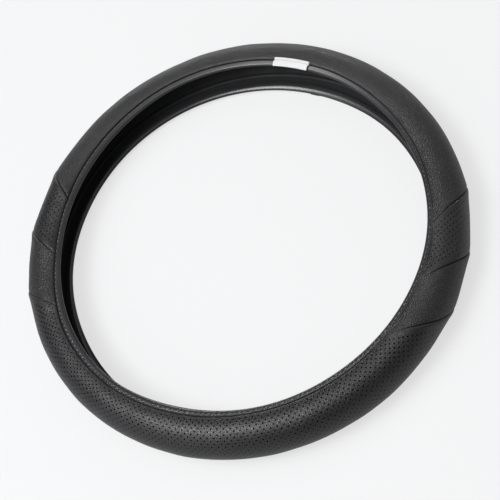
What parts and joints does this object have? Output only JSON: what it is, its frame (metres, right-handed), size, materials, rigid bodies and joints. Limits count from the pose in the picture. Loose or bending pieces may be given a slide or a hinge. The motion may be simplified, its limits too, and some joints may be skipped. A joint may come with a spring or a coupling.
{
  "type": "steering wheel cover",
  "caption": "Sewn ring cover for a steering wheel rim: a C-shaped ring of leather panels over a moulded lining, open all round on its inner side.",
  "frame": {"origin": "centre of the ring, on the surface that the cover's back rests on", "axes": "+Z along the ring's axis to the driver's side, +Y towards twelve o'clock, +X to the driver's right"},
  "size_m": [0.386, 0.3848, 0.0464],
  "materials": {
    "grained_leather": "fine pebble grain, satin",
    "perforated_leather": "fine grain with rows of punched holes, satin",
    "band_leather": "smooth, semi-gloss",
    "moulded_rubber": "matt, moulded",
    "sewing_thread": "twisted polyester",
    "woven_ribbon": "woven, matt"
  },
  "bodies": {
    "root": {"top_panel": "grained_leather", "left_upper_panel": "perforated_leather", "left_lower_panel": "grained_leather", "bottom_panel": "perforated_leather", "right_lower_panel": "grained_leather", "right_upper_panel": "perforated_leather", "grip_lining": "moulded_rubber", "front_edge_band": "band_leather", "back_edge_band": "band_leather", "front_stitch_thread": "sewing_thread", "back_stitch_thread": "sewing_thread", "seam_tab": "woven_ribbon"}
  },
  "joints": []
}
